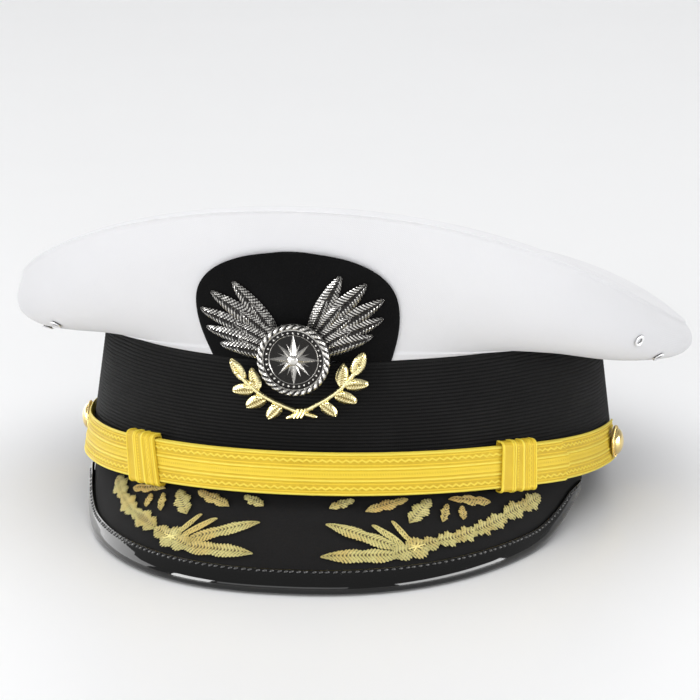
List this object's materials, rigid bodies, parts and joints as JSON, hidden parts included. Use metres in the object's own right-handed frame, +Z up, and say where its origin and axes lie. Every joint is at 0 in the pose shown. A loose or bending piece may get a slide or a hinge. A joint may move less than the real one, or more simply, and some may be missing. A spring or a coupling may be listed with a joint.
{
  "type": "officer cap",
  "caption": "White-topped peaked officer cap with a black ribbed band, gold chin strap, a badge on a felt patch and gold oak leaves on its visor.",
  "frame": {"origin": "under the middle of the cap's outer box, on the surface that it rests on", "axes": "+Z up, the cap's front and visor towards -Y, the wearer's left side towards +X"},
  "size_m": [0.2324, 0.2588, 0.1143],
  "materials": {
    "cover_cloth": "smooth matt white twill",
    "mohair": "black ribbed mohair braid",
    "felt": "matt black felt",
    "patent": "glossy black patent leather",
    "lace": "golden-yellow lace",
    "bullion": "pale gold bullion embroidery",
    "gilt": "polished gilt",
    "silver": "polished silver with dark recesses",
    "eyelet": "plain metal"
  },
  "bodies": {
    "root": {"cap_band": "mohair", "crown_cover": "cover_cloth", "badge_patch": "felt", "badge_medallion": "silver", "badge_frond_left": "silver", "badge_frond_right": "silver", "badge_laurels": "gilt", "visor": "felt", "visor_binding": "patent", "oak_spray_left": "bullion", "oak_spray_right": "bullion", "chin_strap_front": "lace", "chin_strap_back": "lace", "strap_slider_left": "lace", "strap_slider_right": "lace", "button_left": "gilt", "button_right": "gilt", "vent_eyelet_left_front": "eyelet", "vent_eyelet_left_back": "eyelet", "vent_eyelet_right_front": "eyelet", "vent_eyelet_right_back": "eyelet", "oak_leaf_left_1": "bullion", "oak_leaf_left_2": "bullion", "oak_leaf_left_3": "bullion", "oak_leaf_left_4": "bullion", "oak_leaf_right_1": "bullion", "oak_leaf_right_2": "bullion", "oak_leaf_right_3": "bullion", "oak_leaf_right_4": "bullion"}
  },
  "joints": []
}
